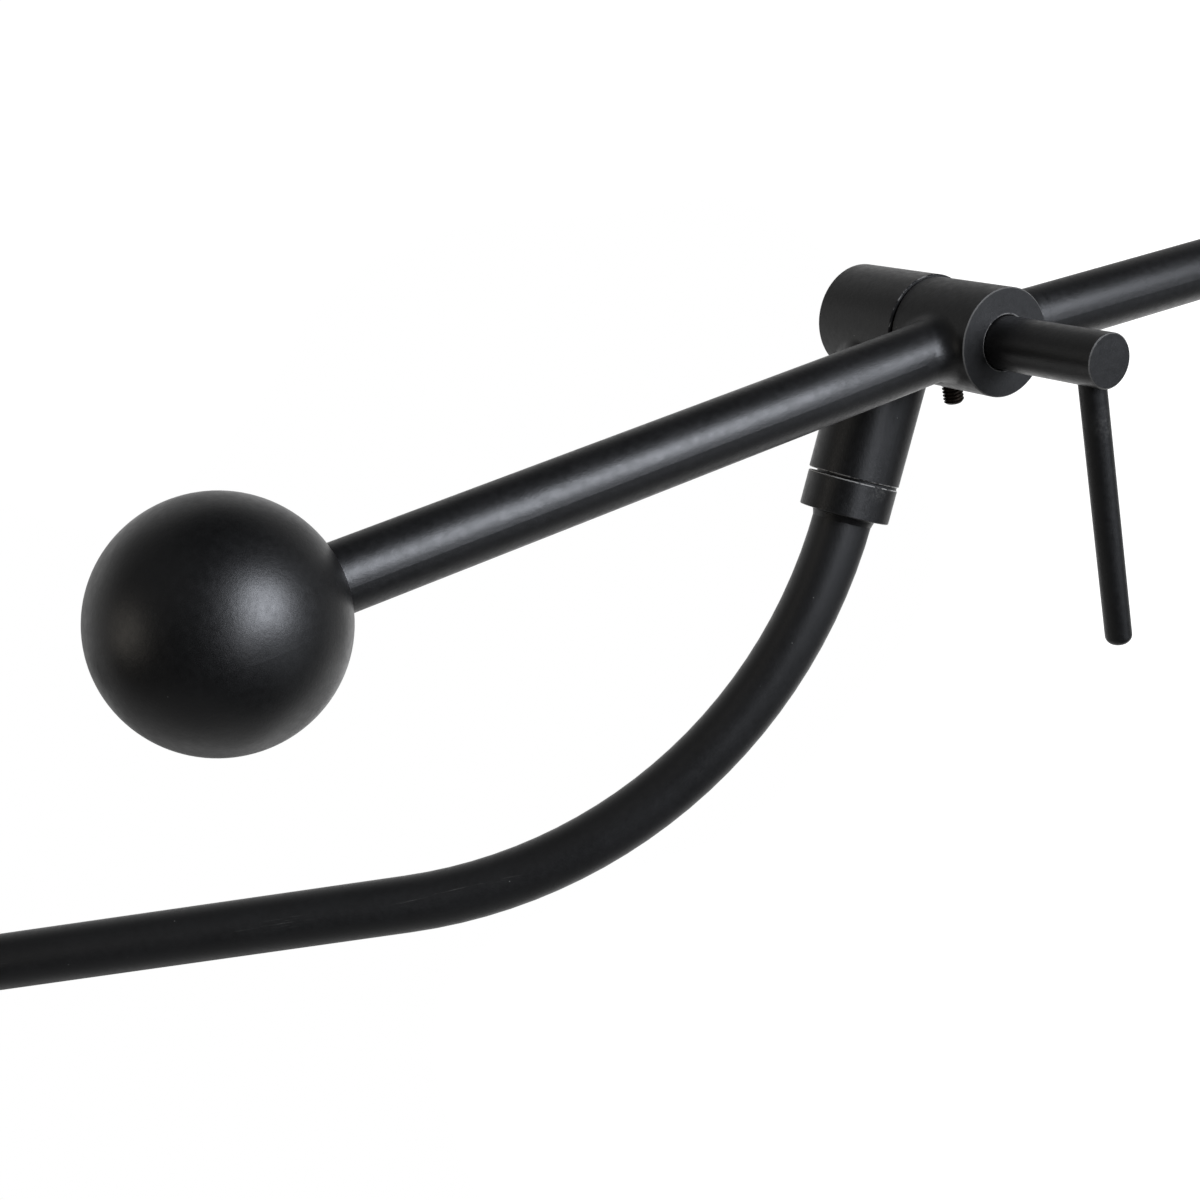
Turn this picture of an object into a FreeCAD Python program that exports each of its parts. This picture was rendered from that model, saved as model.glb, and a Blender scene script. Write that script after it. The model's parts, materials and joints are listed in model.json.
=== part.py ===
import FreeCAD, Part
import math
import os
import Sketcher

# Wall arm that carries a counterbalanced boom.  A bent tube comes out of a wall plate and ends in a
# vertical swivel.  A tee on the swivel holds a horizontal pivot, and the boom tilts on that pivot, with
# a ball weight on one side, a plain tube on the other and a handle on the end of the pivot shaft.
#
# Frame: millimetres, +Z up.  The origin is the centre of the wall plate's back face, and the wall is on
# the +Y side.  The arm lies in the plane X = 0.

doc = FreeCAD.newDocument("counterbalanced_boom_arm")
V = FreeCAD.Vector

DIMENSIONS = [
    # wall plate and the boss that holds the tube
    ("plate_dia", 72),
    ("plate_thick", 5),
    ("plate_edge", 1),
    ("screw_circle", 54),
    ("screw_count", 3),
    ("screw_hole", 4.5),
    ("screw_head", 9),
    ("boss_dia", 22),
    ("boss_length", 20),
    ("boss_bore_depth", 13),
    ("boss_edge", 1),
    ("boss_screw_dia", 6),
    ("boss_screw_head", 11.5),
    ("boss_screw_length", 9.5),
    ("boss_screw_key", 4),
    ("boss_screw_key_depth", 2),
    # bent tube, from the wall to the swivel
    ("arm_dia", 12),
    ("arm_wall", 1.5),
    ("wall_run", 21),
    ("wall_bend", 115),
    ("arm_rise", 23.5),
    ("middle_run", 130),
    ("arm_bend", 112),
    # swivel
    ("collar_dia", 18.3),
    ("collar_height", 7.1),
    ("collar_seat", 3),
    ("collar_weld", 1.5),
    ("collar_weld_throat", 0.35),
    ("collar_edge", 0.15),
    ("pin_dia", 10),
    ("pin_tenon", 6),
    ("pin_end_gap", 0.7),
    ("washer_dia", 16.4),
    ("washer_thick", 0.5),
    ("washer_bore", 11.6),
    ("washer_drift", 0.7),
    ("ring_wire", 1.2),
    ("ring_groove", 0.7),
    ("ring_place", 2.2),
    # tee
    ("socket_dia", 18.5),
    ("socket_drop", 31.7),
    ("socket_bore_depth", 20),
    ("tee_dia", 21.4),
    ("tee_rear", 11.1),
    ("tee_front", 10.9),
    ("tee_edge", 0.2),
    ("tee_weld", 1.5),
    ("tee_web", 3),
    ("bush_dia", 13),
    ("rear_bore", 15.5),
    ("cap_thick", 1.4),
    ("cap_lip", 1.2),
    # pivot shaft, its handle and the stack that sets the friction
    ("shaft_dia", 10),
    ("shaft_reach", 35.6),
    ("shaft_edge", 0.25),
    ("thread_dia", 6),
    ("thread_length", 7.4),
    ("backing_thick", 1),
    ("spring_thick", 0.7),
    ("spring_rise", 0.25),
    ("spring_dia", 12.5),
    ("nut_flats", 10),
    ("nut_height", 3.2),
    ("nut_crown_reach", 1.6),
    ("nut_crown_drop", 0.95),
    ("handle_dia", 5),
    ("handle_length", 56.4),
    ("handle_place", 30.8),
    ("handle_depth", 7.2),
    ("handle_tip", 1.7),
    ("handle_drop", 59.7),
    # hub of the boom
    ("hub_dia", 20.5),
    ("hub_seam_side", 10.7),
    ("hub_face_side", 9.6),
    ("hub_edge", 0.2),
    ("hub_bore_edge", 0.3),
    ("neck_length", 15.6),
    ("neck_fillet", 3.5),
    ("tenon_length", 11),
    ("tenon_edge", 0.4),
    ("seam_gap", 0.3),
    ("seam_washer_dia", 16.5),
    ("seam_washer_thick", 1.1),
    # boom, its two ends and the ball
    ("rod_dia", 12),
    ("boom_wall", 1.2),
    ("boom_rise", 25),
    ("boom_length", 300),
    ("weight_drop", 29),
    ("rod_tenon_dia", 8),
    ("ball_dia", 41.2),
    ("ball_distance", 153.7),
    ("ball_recess", 3),
    ("stud_dia", 8),
    ("stud_in_rod", 13),
    ("stud_in_ball", 15),
    ("nipple_dia", 10),
    ("nipple_length", 12),
    ("nipple_flange", 3),
    ("nipple_plug", 14),
    ("nipple_bore", 6.5),
    # set screws
    ("grub_dia", 4),
    ("grub_socket", 2),
    ("grub_socket_depth", 2),
    ("grub_edge", 0.45),
    ("arm_grub_length", 5),
    ("hub_grub_length", 10),
    ("hub_grub_place", 7.2),
    ("hub_grub_dimple", 0.6),
    # clearances, all on the radius or on a flat face
    ("slip", 0.02),
    ("run", 0.05),
    ("face_gap", 0.05),
    ("head_azimuth", -143.75),
]


def make_sheet():
    sheet = doc.addObject("Spreadsheet::Sheet", "dims")
    for row, (alias, number) in enumerate(DIMENSIONS, start=1):
        sheet.set("A%d" % row, alias)
        sheet.set("B%d" % row, str(number))
        sheet.setAlias("B%d" % row, alias)
    doc.recompute()
    return sheet


dims = make_sheet()
size = {alias: float(dims.get(alias)) for alias, number in DIMENSIONS}
sub_parts = []


# ---- helpers ---------------------------------------------------------------------------------------

def new_body(label):
    body = doc.addObject("PartDesign::Body", label)
    body.Label = label
    sub_parts.append(body)
    return body


def new_sketch(body, role, name):
    """Sketch on one of the body's own origin planes."""
    sketch = body.newObject("Sketcher::SketchObject", name)
    plane = [item for item in body.Origin.OriginFeatures if item.Role == role][0]
    sketch.AttachmentSupport = [(plane, "")]
    sketch.MapMode = "FlatFace"
    return sketch


def bind(sketch, constraint, expression):
    index = sketch.addConstraint(constraint)
    sketch.setExpression("Constraints[%d]" % index, expression)


def draw_outline(sketch, corners):
    """Closed polygon, each corner an (across, up) pair of expressions."""
    points = [V(float(sketch.evalExpression(across)), float(sketch.evalExpression(up)), 0)
              for across, up in corners]
    count = len(points)
    for i in range(count):
        sketch.addGeometry(Part.LineSegment(points[i], points[(i + 1) % count]), False)
    for i in range(count):
        sketch.addConstraint(Sketcher.Constraint("Coincident", i, 2, (i + 1) % count, 1))
    for i, (across, up) in enumerate(corners):
        if across == "0":
            sketch.addConstraint(Sketcher.Constraint("PointOnObject", i, 1, -2))
        else:
            bind(sketch, Sketcher.Constraint("DistanceX", -1, 1, i, 1, points[i].x), across)
        if up == "0":
            sketch.addConstraint(Sketcher.Constraint("PointOnObject", i, 1, -1))
        else:
            bind(sketch, Sketcher.Constraint("DistanceY", -1, 1, i, 1, points[i].y), up)


def draw_circle(sketch, diameter, up="0"):
    radius = float(sketch.evalExpression(diameter)) / 2
    height = float(sketch.evalExpression(up))
    index = sketch.addGeometry(Part.Circle(V(0, height, 0), V(0, 0, 1), radius), False)
    bind(sketch, Sketcher.Constraint("Diameter", index, 2 * radius), diameter)
    if up == "0":
        sketch.addConstraint(Sketcher.Constraint("Coincident", index, 3, -1, 1))
    else:
        sketch.addConstraint(Sketcher.Constraint("PointOnObject", index, 3, -2))
        bind(sketch, Sketcher.Constraint("DistanceY", -1, 1, index, 3, height), up)


def draw_hexagon(sketch, flats, up="0"):
    """Regular hexagon round the sketch's origin, its size given across the flats."""
    radius = float(sketch.evalExpression(flats)) / math.sqrt(3)
    corners = [V(radius * math.cos(math.radians(60 * i)), radius * math.sin(math.radians(60 * i)), 0)
               for i in range(6)]
    for i in range(6):
        sketch.addGeometry(Part.LineSegment(corners[i], corners[(i + 1) % 6]), False)
    ring = sketch.addGeometry(Part.Circle(V(0, 0, 0), V(0, 0, 1), radius), True)
    sketch.addConstraint(Sketcher.Constraint("Coincident", ring, 3, -1, 1))
    for i in range(6):
        sketch.addConstraint(Sketcher.Constraint("Coincident", i, 2, (i + 1) % 6, 1))
        sketch.addConstraint(Sketcher.Constraint("PointOnObject", i, 1, ring))
    for i in range(1, 6):
        sketch.addConstraint(Sketcher.Constraint("Equal", 0, i))
    sketch.addConstraint(Sketcher.Constraint("PointOnObject", 0, 1, -1))
    bind(sketch, Sketcher.Constraint("Diameter", ring, 2 * radius), "(%s) / cos(30)" % flats)


def turn(body, name, corners, kind="PartDesign::Revolution", angle=360):
    """Revolves an outline round the body's Z axis, as on a lathe."""
    sketch = new_sketch(body, "XZ_Plane", name + "_outline")
    draw_outline(sketch, corners)
    feature = body.newObject(kind, name)
    feature.Profile = sketch
    feature.ReferenceAxis = (sketch, ["V_Axis"])
    feature.Angle = angle
    sketch.Visibility = False
    doc.recompute()
    return feature


def turned(label, corners, angle=360):
    body = new_body(label)
    turn(body, label + "_turned", corners, angle=angle)
    return body


def extrude(body, name, role, draw, draw_size, length, kind="PartDesign::Pad", start="0", up="0",
            swing="0", reverse=False):
    """Pads or pockets a circle or a hexagon.

    `start` lifts the sketch off its plane, `up` moves the circle along the sketch's vertical axis and
    `swing` turns the whole sketch about that axis, in degrees.
    """
    sketch = new_sketch(body, role, name + "_outline")
    sketch.AttachmentOffset = FreeCAD.Placement(V(0, 0, 0), FreeCAD.Rotation(V(0, 1, 0), 1))
    sketch.setExpression("AttachmentOffset.Rotation.Angle", swing)
    sketch.setExpression("AttachmentOffset.Base.z", start)
    draw(sketch, draw_size, up)
    feature = body.newObject(kind, name)
    feature.Profile = sketch
    feature.setExpression("Length", length)
    feature.Reversed = reverse
    sketch.Visibility = False
    doc.recompute()
    return feature


def cut(body, name, role, draw, draw_size, length, start="0", up="0", swing="0", reverse=False):
    """A pocket that has to take something away."""
    before = body.Shape.Volume
    feature = extrude(body, name, role, draw, draw_size, length, "PartDesign::Pocket", start, up, swing,
                      reverse)
    if body.Shape.Volume > before - 1e-3:
        raise RuntimeError("%s cuts nothing" % name)
    return feature


def edges_where(shape, test):
    return ["Edge%d" % (i + 1) for i, edge in enumerate(shape.Edges) if test(edge)]


def round_edges(body, name, test, amount, kind="PartDesign::Fillet"):
    names = edges_where(body.Tip.Shape, test)
    if not names:
        raise RuntimeError("%s finds no edge" % name)
    base = body.Tip
    feature = body.newObject(kind, name)
    feature.Base = (base, names)
    feature.setExpression("Radius" if kind.endswith("Fillet") else "Size", amount)
    doc.recompute()
    return feature


def is_ring(edge, radius, height, tolerance=0.01):
    """True for a full circle of this radius, square to Z, at this height."""
    curve = edge.Curve
    return (isinstance(curve, Part.Circle) and abs(curve.Radius - radius) < tolerance
            and abs(curve.Center.z - height) < tolerance and abs(abs(curve.Axis.z) - 1) < tolerance)


def stand(body, point, z_direction, x_direction):
    """Puts the body's origin on `point`, its Z and X axes along the two directions."""
    y_direction = z_direction.cross(x_direction)
    turned_frame = FreeCAD.Rotation(x_direction, y_direction, z_direction, "ZXY")
    body.Placement = FreeCAD.Placement(point, turned_frame)


# ---- places and directions -------------------------------------------------------------------------

X = V(1, 0, 0)
Y = V(0, 1, 0)
Z = V(0, 0, 1)
OUT = V(0, -1, 0)                          # away from the wall

rise = math.radians(size["arm_rise"])
turn_up = math.pi / 2 - rise
tube_start = size["plate_thick"] + size["boss_length"] - size["boss_bore_depth"]
arm_reach = (tube_start + size["wall_run"] + size["wall_bend"] * math.sin(rise)
             + size["middle_run"] * math.cos(rise) + size["arm_bend"] * (1 - math.cos(turn_up)))
bend_top = (size["wall_bend"] * (1 - math.cos(rise)) + size["middle_run"] * math.sin(rise)
            + size["arm_bend"] * math.sin(turn_up))
swivel_gap = size["washer_thick"] + size["face_gap"]
pivot_height = bend_top + size["collar_height"] + swivel_gap + size["socket_drop"]
PIVOT = V(0, -arm_reach, pivot_height)     # where the swivel axis meets the tilt axis

azimuth = math.radians(size["head_azimuth"])
TILT_AXIS = V(math.cos(azimuth), math.sin(azimuth), 0)
SIDE = Z.cross(TILT_AXIS)                  # level, square to the tilt axis, on the boom's side


def slope(degrees):
    """Direction in the tilt plane, measured up from the level."""
    angle = math.radians(degrees)
    return SIDE * math.cos(angle) + Z * math.sin(angle)


BOOM = slope(size["boom_rise"])
WEIGHT = slope(180 + size["weight_drop"])
HANDLE = slope(-size["handle_drop"])
hub_place = size["tee_front"] + size["seam_gap"] + size["hub_seam_side"]
HUB = PIVOT + TILT_AXIS * hub_place


# ---- wall plate ------------------------------------------------------------------------------------

def wall_plate():
    body = turned("wall_plate", [
        ("dims.boss_screw_dia / 2 + dims.run", "(dims.boss_screw_head - dims.boss_screw_dia) / 2"),
        ("dims.boss_screw_head / 2 + dims.run", "0"),
        ("dims.plate_dia / 2", "0"),
        ("dims.plate_dia / 2", "dims.plate_thick - dims.plate_edge"),
        ("dims.plate_dia / 2 - dims.plate_edge", "dims.plate_thick"),
        ("dims.boss_screw_dia / 2 + dims.run", "dims.plate_thick"),
    ])
    front = [item for item in body.Origin.OriginFeatures if item.Role == "XY_Plane"][0]
    spot = body.newObject("Sketcher::SketchObject", "screw_spot")
    spot.AttachmentSupport = [(front, "")]
    spot.MapMode = "FlatFace"
    spot.setExpression("AttachmentOffset.Base.z", "dims.plate_thick")
    centre = V(0, size["screw_circle"] / 2, 0)
    circle = spot.addGeometry(Part.Circle(centre, Z, size["screw_hole"] / 2), False)
    spot.addConstraint(Sketcher.Constraint("PointOnObject", circle, 3, -2))
    bind(spot, Sketcher.Constraint("DistanceY", -1, 1, circle, 3, centre.y), "dims.screw_circle / 2")
    bind(spot, Sketcher.Constraint("Diameter", circle, size["screw_hole"]), "dims.screw_hole")
    doc.recompute()
    before = body.Shape.Volume
    hole = body.newObject("PartDesign::Hole", "screw_hole_cut")
    hole.Profile = spot
    hole.ThreadType = "None"
    hole.DepthType = "ThroughAll"
    hole.setExpression("Diameter", "dims.screw_hole")
    hole.HoleCutType = "Countersink"
    hole.HoleCutCustomValues = True
    hole.setExpression("HoleCutDiameter", "dims.screw_head")
    hole.HoleCutCountersinkAngle = 90
    doc.recompute()
    pattern = body.newObject("PartDesign::PolarPattern", "screw_holes")
    pattern.Originals = [hole]
    axis = [item for item in body.Origin.OriginFeatures if item.Role == "Z_Axis"][0]
    pattern.Axis = (axis, [""])
    pattern.Angle = 360
    pattern.setExpression("Occurrences", "dims.screw_count")
    body.Tip = pattern
    doc.recompute()
    if body.Shape.Volume > before - size["screw_count"] * size["plate_thick"] * size["screw_hole"]:
        raise RuntimeError("the screw holes are missing")
    stand(body, V(0, 0, 0), OUT, X)


def arm_boss():
    body = turned("arm_boss", [
        ("dims.boss_screw_dia / 2", "0"),
        ("dims.boss_dia / 2", "0"),
        ("dims.boss_dia / 2", "dims.boss_length - dims.boss_edge"),
        ("dims.boss_dia / 2 - dims.boss_edge", "dims.boss_length"),
        ("dims.arm_dia / 2 + dims.slip", "dims.boss_length"),
        ("dims.arm_dia / 2 + dims.slip", "dims.boss_length - dims.boss_bore_depth"),
        ("dims.boss_screw_dia / 2", "dims.boss_length - dims.boss_bore_depth"),
    ])
    cut(body, "arm_grub_hole", "XZ_Plane", draw_circle, "dims.grub_dia + 2 * dims.slip", "dims.boss_dia",
        up="dims.boss_length - dims.boss_bore_depth / 2", reverse=True)
    stand(body, OUT * size["plate_thick"], OUT, X)


def boss_screw():
    body = turned("boss_screw", [
        ("0", "0"),
        ("dims.boss_screw_head / 2", "0"),
        ("dims.boss_screw_dia / 2", "(dims.boss_screw_head - dims.boss_screw_dia) / 2"),
        ("dims.boss_screw_dia / 2", "dims.boss_screw_length - dims.grub_edge"),
        ("dims.boss_screw_dia / 2 - dims.grub_edge", "dims.boss_screw_length"),
        ("0", "dims.boss_screw_length"),
    ])
    cut(body, "boss_screw_socket", "XY_Plane", draw_hexagon, "dims.boss_screw_key",
        "dims.boss_screw_key_depth", reverse=True)
    stand(body, V(0, 0, 0), OUT, X)


def set_screw(label, length):
    """Headless screw with a hexagon socket at its top, its point on the body's origin."""
    body = turned(label, [
        ("0", "0"),
        ("dims.grub_dia / 2 - dims.grub_edge", "0"),
        ("dims.grub_dia / 2", "dims.grub_edge"),
        ("dims.grub_dia / 2", "%s - dims.grub_edge" % length),
        ("dims.grub_dia / 2 - dims.grub_edge", length),
        ("0", length),
    ])
    cut(body, label + "_socket", "XY_Plane", draw_hexagon, "dims.grub_socket", "dims.grub_socket_depth",
        start=length)
    return body


def arm_set_screw():
    """Screw in the boss, its point on the tube and its socket just inside the boss's flank."""
    middle = size["plate_thick"] + size["boss_length"] - size["boss_bore_depth"] / 2
    stand(set_screw("arm_set_screw", "dims.arm_grub_length"),
          OUT * middle - Z * (size["arm_dia"] / 2), Z.negative(), X)


# ---- bent tube and swivel --------------------------------------------------------------------------

def support_arm():
    body = new_body("support_arm")
    profile = new_sketch(body, "XY_Plane", "arm_section")
    draw_circle(profile, "dims.arm_dia")
    draw_circle(profile, "dims.arm_dia - 2 * dims.arm_wall")
    path = new_sketch(body, "YZ_Plane", "arm_path")
    first = Y * size["wall_run"]
    middle_way = V(math.sin(rise), math.cos(rise), 0)
    first_centre = first + V(size["wall_bend"], 0, 0)
    second = first_centre + V(-math.cos(rise), math.sin(rise), 0) * size["wall_bend"]
    third = second + middle_way * size["middle_run"]
    last_centre = third + V(math.cos(rise), -math.sin(rise), 0) * size["arm_bend"]
    fourth = last_centre + V(0, size["arm_bend"], 0)
    last_run = size["collar_height"] - size["collar_seat"]
    end = fourth + V(last_run, 0, 0)
    path.addGeometry(Part.LineSegment(V(0, 0, 0), first), False)
    path.addGeometry(Part.ArcOfCircle(Part.Circle(first_centre, Z, size["wall_bend"]),
                                      math.pi - rise, math.pi), False)
    path.addGeometry(Part.LineSegment(second, third), False)
    path.addGeometry(Part.ArcOfCircle(Part.Circle(last_centre, Z, size["arm_bend"]),
                                      math.pi / 2, math.pi - rise), False)
    path.addGeometry(Part.LineSegment(fourth, end), False)
    path.addConstraint(Sketcher.Constraint("Coincident", 0, 1, -1, 1))
    path.addConstraint(Sketcher.Constraint("Vertical", 0))
    path.addConstraint(Sketcher.Constraint("Tangent", 0, 2, 1, 2))
    path.addConstraint(Sketcher.Constraint("Tangent", 1, 1, 2, 1))
    path.addConstraint(Sketcher.Constraint("Tangent", 2, 2, 3, 2))
    path.addConstraint(Sketcher.Constraint("Tangent", 3, 1, 4, 1))
    path.addConstraint(Sketcher.Constraint("Horizontal", 4))
    bind(path, Sketcher.Constraint("Distance", 0, size["wall_run"]), "dims.wall_run")
    bind(path, Sketcher.Constraint("Radius", 1, size["wall_bend"]), "dims.wall_bend")
    bind(path, Sketcher.Constraint("Distance", 2, size["middle_run"]), "dims.middle_run")
    bind(path, Sketcher.Constraint("Radius", 3, size["arm_bend"]), "dims.arm_bend")
    bind(path, Sketcher.Constraint("Distance", 4, last_run), "dims.collar_height - dims.collar_seat")
    bind(path, Sketcher.Constraint("Angle", -1, 1, 2, 1, math.pi / 2 - rise), "90 - dims.arm_rise")
    tube = body.newObject("PartDesign::AdditivePipe", "arm_tube")
    tube.Profile = profile
    tube.Spine = path
    doc.recompute()
    length = size["wall_run"] + size["wall_bend"] * rise + size["middle_run"]
    length += size["arm_bend"] * turn_up + last_run
    bore = size["arm_dia"] - 2 * size["arm_wall"]
    section = math.pi / 4 * (size["arm_dia"] ** 2 - bore ** 2)
    if abs(body.Shape.Volume / (section * length) - 1) > 0.01:
        raise RuntimeError("the arm's volume isn't its section times its length")
    # the path's plane is the body's YZ plane, whose first axis goes up and whose second leaves the wall
    stand(body, OUT * tube_start, OUT, X)


def swivel_collar():
    stand(turned("swivel_collar", [
        ("dims.arm_dia / 2 + dims.slip", "-dims.collar_weld"),
        ("dims.arm_dia / 2 + dims.slip + dims.collar_weld_throat", "-dims.collar_weld_throat"),
        ("dims.arm_dia / 2 + dims.slip + dims.collar_weld", "0"),
        ("dims.collar_dia / 2 - dims.collar_edge", "0"),
        ("dims.collar_dia / 2", "dims.collar_edge"),
        ("dims.collar_dia / 2", "dims.collar_height - dims.collar_edge"),
        ("dims.collar_dia / 2 - dims.collar_edge", "dims.collar_height"),
        ("dims.arm_dia / 2 + dims.slip", "dims.collar_height"),
    ]), V(0, -arm_reach, bend_top), Z, TILT_AXIS)


def swivel_pin():
    """Stepped pin: a tenon in the tube, a flange in the collar, and the bearing length with its groove."""
    groove = "dims.collar_seat + %s" % ring_height
    stand(turned("swivel_pin", [
        ("0", "-dims.pin_tenon"),
        ("dims.arm_dia / 2 - dims.arm_wall - dims.run", "-dims.pin_tenon"),
        ("dims.arm_dia / 2 - dims.arm_wall - dims.run", "0"),
        ("dims.arm_dia / 2", "0"),
        ("dims.arm_dia / 2", "dims.collar_seat"),
        ("dims.pin_dia / 2", "dims.collar_seat"),
        ("dims.pin_dia / 2", groove),
        ("dims.pin_dia / 2 - dims.ring_groove", groove),
        ("dims.pin_dia / 2 - dims.ring_groove", "%s + dims.ring_wire" % groove),
        ("dims.pin_dia / 2", "%s + dims.ring_wire" % groove),
        ("dims.pin_dia / 2", "dims.collar_seat + %s" % pin_top),
        ("0", "dims.collar_seat + %s" % pin_top),
    ]), V(0, -arm_reach, bend_top + size["collar_height"] - size["collar_seat"]), Z, TILT_AXIS)


# heights above the collar's top face
swivel_step = "(dims.washer_thick + dims.face_gap)"
pin_top = "(%s + dims.socket_bore_depth - dims.pin_end_gap)" % swivel_step
ring_height = "(%s - dims.ring_place - dims.ring_wire)" % pin_top
COLLAR_TOP = V(0, -arm_reach, bend_top + size["collar_height"])
pin_top_height = swivel_gap + size["socket_bore_depth"] - size["pin_end_gap"]
ring_bottom = pin_top_height - size["ring_place"] - size["ring_wire"]


def swivel_washer():
    """Loose washer with a wide bore, which has drifted to the side away from the wall."""
    stand(turned("swivel_washer", [
        ("dims.washer_bore / 2", "0"),
        ("dims.washer_dia / 2", "0"),
        ("dims.washer_dia / 2", "dims.washer_thick"),
        ("dims.washer_bore / 2", "dims.washer_thick"),
    ]), COLLAR_TOP + OUT * size["washer_drift"], Z, TILT_AXIS)


def swivel_bush():
    """Sleeve pressed into the socket, up to just under the retaining ring."""
    top = "dims.socket_bore_depth - dims.pin_end_gap - dims.ring_place - dims.ring_wire - dims.face_gap"
    stand(turned("swivel_bush", [
        ("dims.pin_dia / 2 + dims.run", "0"),
        ("dims.bush_dia / 2", "0"),
        ("dims.bush_dia / 2", top),
        ("dims.pin_dia / 2 + dims.run", top),
    ]), COLLAR_TOP + Z * swivel_gap, Z, TILT_AXIS)


def retaining_ring():
    """Split ring sprung into the pin's groove."""
    inner = "dims.pin_dia / 2 - dims.ring_groove + dims.slip"
    outer = "dims.pin_dia / 2 - dims.ring_groove + dims.slip + dims.ring_wire"
    stand(turned("retaining_ring", [
        (inner, "dims.slip"),
        (outer, "dims.slip"),
        (outer, "dims.ring_wire - dims.slip"),
        (inner, "dims.ring_wire - dims.slip"),
    ], angle=320), COLLAR_TOP + Z * ring_bottom, Z, TILT_AXIS)


# ---- tee -------------------------------------------------------------------------------------------

def pivot_tee():
    """Horizontal barrel on a vertical socket.  The body's X axis is the tilt axis, its Z axis is up."""
    body = new_body("pivot_tee")
    extrude(body, "tee_socket", "XY_Plane", draw_circle, "dims.socket_dia", "dims.socket_drop",
            start="-dims.socket_drop")
    extrude(body, "tee_barrel", "YZ_Plane", draw_circle, "dims.tee_dia", "dims.tee_rear + dims.tee_front",
            start="-dims.tee_rear")
    outer = size["tee_dia"] / 2

    def on_joint(edge):
        box = edge.BoundBox
        return isinstance(edge.Curve, Part.BSplineCurve) and box.ZMax < 0

    def on_barrel_end(edge):
        box = edge.BoundBox
        return box.XLength < 0.01 and box.ZLength > outer

    def on_socket_end(edge):
        return edge.BoundBox.ZMax < 0.01 - size["socket_drop"]

    round_edges(body, "tee_weld_bead", on_joint, "dims.tee_weld")
    round_edges(body, "tee_barrel_edges", on_barrel_end, "dims.tee_edge", "PartDesign::Chamfer")
    round_edges(body, "tee_socket_edge", on_socket_end, "dims.tee_edge", "PartDesign::Chamfer")
    cut(body, "socket_bore", "XY_Plane", draw_circle, "dims.bush_dia", "dims.socket_bore_depth",
        start="-dims.socket_drop", reverse=True)
    cut(body, "bush_bore", "YZ_Plane", draw_circle, "dims.bush_dia", "dims.tee_front - dims.tee_web / 2",
        start="dims.tee_front")
    cut(body, "seam_recess", "YZ_Plane", draw_circle, "dims.seam_washer_dia + 2 * dims.run", SEAM_RECESS,
        start="dims.tee_front")
    cut(body, "rear_bore", "YZ_Plane", draw_circle, "dims.rear_bore", "dims.tee_rear - dims.tee_web / 2",
        start="-dims.tee_rear", reverse=True)
    cut(body, "web_hole", "YZ_Plane", draw_circle, "dims.shaft_dia + 4 * dims.run",
        "dims.tee_rear + dims.tee_front", start="dims.tee_front")
    stand(body, PIVOT, Z, TILT_AXIS)


SEAM_RECESS = "(dims.seam_washer_thick - dims.seam_gap + dims.face_gap) / 2"
seam_recess = (size["seam_washer_thick"] - size["seam_gap"] + size["face_gap"]) / 2


def along_tilt(distance):
    """Point on the tilt axis, this far from the swivel axis towards the handle."""
    return PIVOT + TILT_AXIS * distance


def tilt_bush():
    length = "dims.tee_front - dims.tee_web / 2 - %s" % SEAM_RECESS
    stand(turned("tilt_bush", [
        ("dims.shaft_dia / 2 + dims.run", "0"),
        ("dims.bush_dia / 2", "0"),
        ("dims.bush_dia / 2", length),
        ("dims.shaft_dia / 2 + dims.run", length),
    ]), along_tilt(size["tee_web"] / 2), TILT_AXIS, SIDE)


def seam_washer():
    stand(turned("seam_washer", [
        ("dims.shaft_dia / 2 + dims.run", "0"),
        ("dims.seam_washer_dia / 2", "0"),
        ("dims.seam_washer_dia / 2", "dims.seam_washer_thick"),
        ("dims.shaft_dia / 2 + dims.run", "dims.seam_washer_thick"),
    ]), along_tilt(size["tee_front"] - seam_recess), TILT_AXIS, SIDE)


def rear_cap():
    """Push-in cap that closes the tee behind the friction stack."""
    stand(turned("rear_cap", [
        ("0", "0"),
        ("dims.rear_bore / 2 - dims.slip - dims.tee_edge", "0"),
        ("dims.rear_bore / 2 - dims.slip", "dims.tee_edge"),
        ("dims.rear_bore / 2 - dims.slip", "dims.cap_thick + dims.cap_lip"),
        ("dims.rear_bore / 2 - dims.slip - dims.cap_lip", "dims.cap_thick + dims.cap_lip"),
        ("dims.rear_bore / 2 - dims.slip - dims.cap_lip", "dims.cap_thick"),
        ("0", "dims.cap_thick"),
    ]), along_tilt(-size["tee_rear"]), TILT_AXIS, SIDE)


# ---- hub, pivot shaft and handle: all turn together about the tilt axis ----------------------------

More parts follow.
